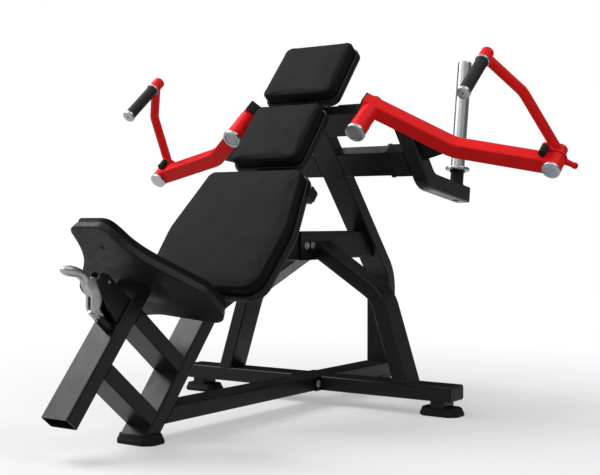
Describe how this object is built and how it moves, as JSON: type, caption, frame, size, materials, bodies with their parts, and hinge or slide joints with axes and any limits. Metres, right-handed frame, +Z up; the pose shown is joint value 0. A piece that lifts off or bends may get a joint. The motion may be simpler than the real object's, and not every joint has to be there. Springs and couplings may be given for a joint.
{
  "type": "chest press machine",
  "caption": "Plate-loaded incline chest machine: padded bench on a bolted tube frame, with swinging arms that carry pivoted handles and upright weight horns.",
  "frame": {"origin": "middle of the footprint box at floor level", "axes": "+X to the right as seen from the seat end, +Y towards the rear post, +Z up"},
  "size_m": [1.7978, 1.7651, 1.269],
  "materials": {
    "black_paint": "gloss black powder coat",
    "red_paint": "gloss red powder coat",
    "chrome": "polished",
    "steel": "turned steel",
    "rubber": "matte",
    "vinyl": "fine grained black upholstery",
    "black_plastic": "satin"
  },
  "bodies": {
    "frame": {"base_beam": "black_paint", "cross_beams": "black_paint", "beam_end_caps": "black_plastic", "foot_pads": "rubber", "foot_posts": "black_paint", "main_spine": "black_paint", "seat_guide_tube": "black_paint", "seat_struts": "black_paint", "guide_bushes": "black_plastic", "mid_beam": "black_paint", "rear_post": "black_paint", "legs": "black_paint", "frame_plates": "black_paint", "frame_bolts": "steel", "shoulder_beams": "black_paint", "pivot_plates": "black_paint", "pivot_shafts": "steel", "shaft_retainers": "steel", "stop_beams": "black_paint", "stop_bumpers": "rubber", "pad_brackets": "black_paint", "pad_boards": "black_plastic", "lower_back_pad": "vinyl", "upper_back_pad": "vinyl", "head_pad": "vinyl", "lever_bracket": "black_paint", "plunger_housing": "black_paint"},
    "right_arm": {"arm_right": "red_paint", "arm_plugs_right": "black_plastic", "arm_bearings_right": "steel", "arm_caps_right": "chrome", "weight_bracket_right": "black_paint", "weight_horn_right": "chrome", "horn_sleeve_right": "black_plastic", "horn_bolt_right": "steel"},
    "right_handle": {"handle_link_right": "red_paint", "handle_stop_right": "rubber", "elbow_shaft_right": "steel", "grip_right": "rubber", "grip_collars_right": "chrome"},
    "left_arm": {"arm_left": "red_paint", "arm_plugs_left": "black_plastic", "arm_bearings_left": "steel", "arm_caps_left": "chrome", "weight_bracket_left": "black_paint", "weight_horn_left": "chrome", "horn_sleeve_left": "black_plastic", "horn_bolt_left": "steel"},
    "left_handle": {"handle_link_left": "red_paint", "handle_stop_left": "rubber", "elbow_shaft_left": "steel", "grip_left": "rubber", "grip_collars_left": "chrome"},
    "seat": {"seat_pad": "vinyl", "seat_board": "black_plastic", "seat_bracket": "black_paint", "seat_post": "chrome"},
    "seat_lever": {"seat_lever": "chrome", "lever_pins": "steel"},
    "lock_plunger": {"lock_plunger": "steel"}
  },
  "joints": [
    {"name": "right_arm_swing", "type": "hinge", "parent": "frame", "child": "right_arm", "pos_m": [0.257, 0.33308, 1.02892], "axis": [0, -0.766, -0.6428], "range_deg": [0, 85]},
    {"name": "right_handle_swing", "type": "hinge", "parent": "right_arm", "child": "right_handle", "pos_m": [0.83594, 0.50336, 0.82598], "axis": [0, 0.766, 0.6428], "range_deg": [0, 90]},
    {"name": "left_arm_swing", "type": "hinge", "parent": "frame", "child": "left_arm", "pos_m": [-0.257, 0.33308, 1.02892], "axis": [0, 0.766, 0.6428], "range_deg": [0, 85]},
    {"name": "left_handle_swing", "type": "hinge", "parent": "left_arm", "child": "left_handle", "pos_m": [-0.83594, 0.50336, 0.82598], "axis": [0, -0.766, -0.6428], "range_deg": [0, 90]},
    {"name": "seat_slide", "type": "slide", "parent": "frame", "child": "seat", "axis": [0, 0.6428, 0.766], "range_m": [0, 0.15]},
    {"name": "seat_lever_turn", "type": "hinge", "parent": "frame", "child": "seat_lever", "pos_m": [0.02, -0.71346, 0.47322], "axis": [-1, 0, 0], "range_deg": [0, 12], "stiffness_Nm_per_rad": 2},
    {"name": "lock_plunger_slide", "type": "slide", "parent": "frame", "child": "lock_plunger", "axis": [0, -0.766, 0.6428], "range_m": [0, 0.019]}
  ],
  "couplings": [
    {"joint": "lock_plunger_slide", "follows": "seat_lever_turn", "m_per_rad": 0.089132}
  ]
}
